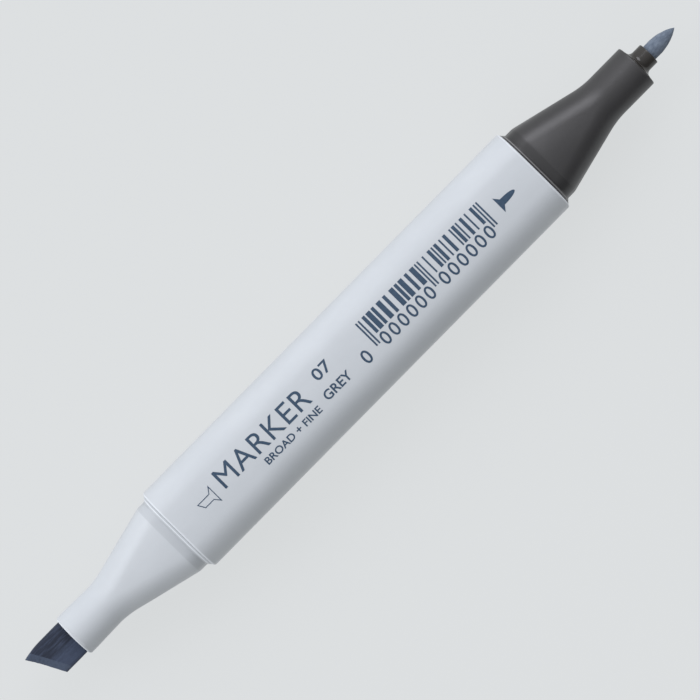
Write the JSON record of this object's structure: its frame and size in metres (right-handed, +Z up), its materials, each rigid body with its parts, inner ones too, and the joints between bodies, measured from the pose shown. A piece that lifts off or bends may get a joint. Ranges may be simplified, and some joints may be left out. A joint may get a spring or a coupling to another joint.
{
  "type": "felt tip marker",
  "caption": "Double-ended felt tip marker, uncapped: square barrel, tapered necks, a slanted chisel nib at one end and a bullet nib at the other.",
  "frame": {"origin": "middle of the barrel's flat underside, the face the marker lies on", "axes": "+X along the marker from the chisel nib to the bullet nib, +Y across it towards the top of the printing, +Z up out of the printed face"},
  "size_m": [0.1328, 0.015, 0.015],
  "materials": {
    "pale_plastic": "satin",
    "dark_plastic": "satin",
    "light_felt": "inked felt",
    "dark_felt": "inked felt, streaked along the fibre",
    "inked_fibre": "inked fibre",
    "wrap_film": "thin clear film"
  },
  "bodies": {
    "marker_body": {"barrel": "pale_plastic", "broad_neck": "pale_plastic", "fine_neck": "dark_plastic", "fine_nib_holder": "dark_plastic", "reservoir_core": "inked_fibre", "reservoir_film": "wrap_film"},
    "fine_nib": {"fine_nib": "light_felt"},
    "broad_nib": {"broad_nib": "dark_felt"}
  },
  "joints": [
    {"name": "fine_nib_pull", "type": "slide", "parent": "marker_body", "child": "fine_nib", "axis": [1, 0, 0], "range_m": [0, 0.03]},
    {"name": "broad_nib_pull", "type": "slide", "parent": "marker_body", "child": "broad_nib", "axis": [-1, 0, 0], "range_m": [0, 0.028]}
  ]
}
